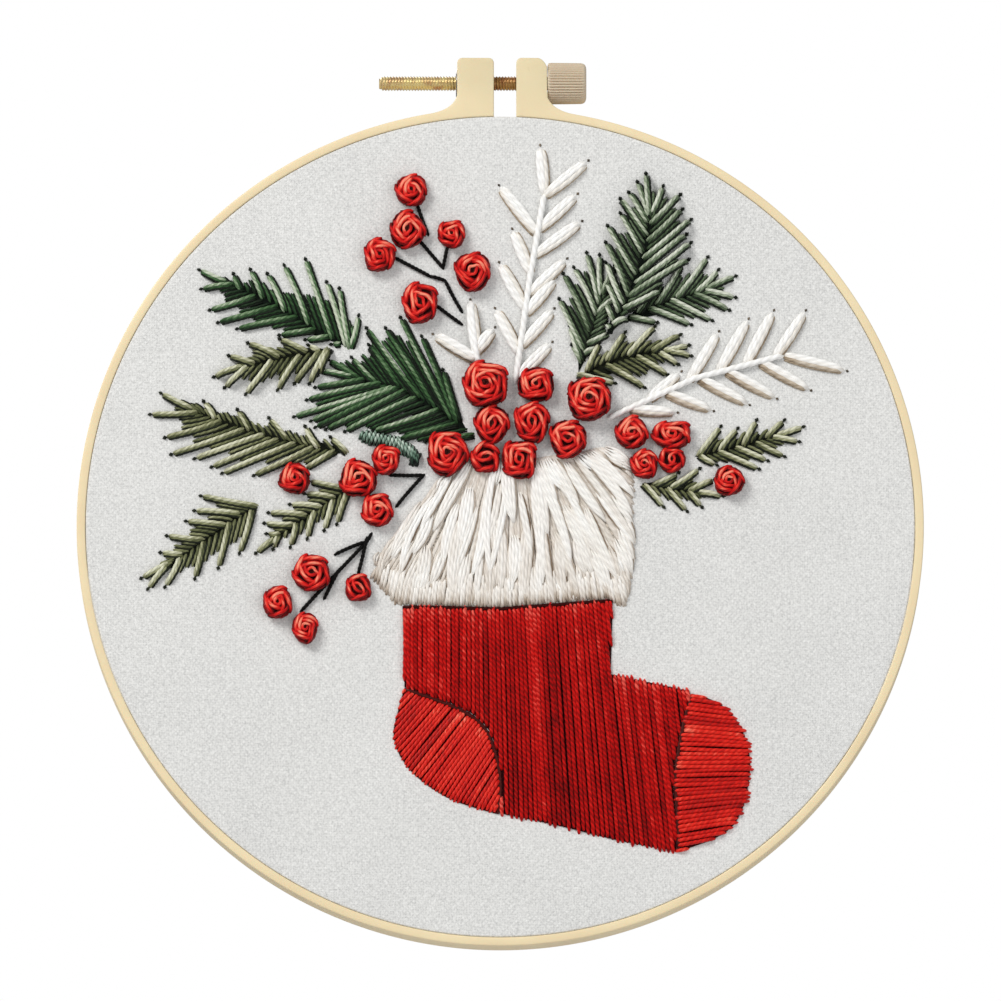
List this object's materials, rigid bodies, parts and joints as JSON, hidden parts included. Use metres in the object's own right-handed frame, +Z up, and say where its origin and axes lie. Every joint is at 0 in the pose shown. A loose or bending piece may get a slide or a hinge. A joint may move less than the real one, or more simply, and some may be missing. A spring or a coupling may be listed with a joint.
{
  "type": "embroidery hoop decoration",
  "caption": "Round split hoop with a clamp screw, holding stretched linen stitched with a stocking, sprigs and berries; hangs from its screw.",
  "frame": {"origin": "the hanging point: underside of the clamp screw, in the middle of the gap between the lugs and of the hoop's depth", "axes": "+X to the viewer's right, +Y into the wall, +Z up; the stitched front faces -Y"},
  "size_m": [0.1999, 0.0147, 0.2119],
  "materials": {
    "hoop_plastic": "moulded cream plastic, satin",
    "knob_plastic": "ribbed beige plastic",
    "screw_brass": "rolled thread, bright",
    "nut_steel": "plain zinc",
    "linen": "off-white plain weave",
    "hem_thread": "white sewing thread",
    "deep_red_thread": "twisted cotton, satin stitch",
    "bright_red_thread": "twisted cotton, satin stitch",
    "cream_wool": "soft wool, long and short stitch",
    "berry_thread": "twisted cotton wound into buds",
    "white_thread": "twisted cotton",
    "black_thread": "twisted cotton",
    "dark_pine_thread": "twisted cotton",
    "teal_thread": "twisted cotton",
    "olive_thread": "twisted cotton"
  },
  "bodies": {
    "outer_hoop": {"outer_hoop_left_arm": "hoop_plastic", "clamp_nut": "nut_steel"},
    "hoop_right_arm": {"outer_hoop_right_arm": "hoop_plastic"},
    "clamp_screw": {"clamp_screw": "screw_brass", "screw_knob": "knob_plastic"},
    "stitched_panel": {"berry_centre_1": "berry_thread", "berry_centre_2": "berry_thread", "berry_centre_3": "berry_thread", "berry_centre_4": "berry_thread", "berry_centre_5": "berry_thread", "berry_centre_6": "berry_thread", "berry_centre_7": "berry_thread", "berry_centre_8": "berry_thread", "berry_centre_9": "berry_thread", "berry_left_1": "berry_thread", "berry_left_2": "berry_thread", "berry_left_3": "berry_thread", "berry_left_4": "berry_thread", "berry_left_5": "berry_thread", "berry_left_6": "berry_thread", "berry_left_7": "berry_thread", "berry_left_8": "berry_thread", "berry_right_1": "berry_thread", "berry_right_2": "berry_thread", "berry_right_3": "berry_thread", "berry_right_4": "berry_thread", "berry_right_5": "berry_thread", "berry_top_1": "berry_thread", "berry_top_2": "berry_thread", "berry_top_3": "berry_thread", "berry_top_4": "berry_thread", "berry_top_5": "berry_thread", "berry_top_6": "berry_thread", "gathering_thread": "hem_thread", "ground_fabric": "linen", "inner_hoop": "hoop_plastic", "pine_sprig_centre_dark": "dark_pine_thread", "pine_sprig_far_left_dark": "dark_pine_thread", "pine_sprig_far_left_olive": "olive_thread", "pine_sprig_long_olive": "olive_thread", "pine_sprig_lower_left": "olive_thread", "pine_sprig_middle": "olive_thread", "pine_sprig_right_inner": "dark_pine_thread", "pine_sprig_right_lower": "olive_thread", "pine_sprig_right_main": "dark_pine_thread", "pine_sprig_right_outer": "dark_pine_thread", "pine_sprig_right_small_lower": "olive_thread", "pine_sprig_right_small_upper": "olive_thread", "pine_sprig_short_teal": "teal_thread", "stem_lower_spray": "black_thread", "stem_middle_fork": "black_thread", "stem_top_fork": "black_thread", "stem_top_long": "black_thread", "stocking_cuff": "cream_wool", "stocking_heel": "bright_red_thread", "stocking_leg": "deep_red_thread", "stocking_toe": "bright_red_thread", "white_frond_right": "white_thread", "white_frond_short": "white_thread", "white_frond_tall": "white_thread"}
  },
  "joints": [
    {"name": "hoop_opening", "type": "hinge", "parent": "outer_hoop", "child": "hoop_right_arm", "pos_m": [0, 0, -0.20475], "axis": [0, 1, 0], "range_deg": [0, 1.1]},
    {"name": "knob_turn", "type": "hinge", "parent": "hoop_right_arm", "child": "clamp_screw", "pos_m": [0, 0, 0.00175], "axis": [1, 0, 0], "range_deg": [0, 2057]},
    {"name": "panel_slide", "type": "slide", "parent": "outer_hoop", "child": "stitched_panel", "axis": [0, -1, 0], "range_m": [0, 0.025]}
  ],
  "couplings": [
    {"joint": "knob_turn", "follows": "hoop_opening", "ratio": 1855.3}
  ]
}
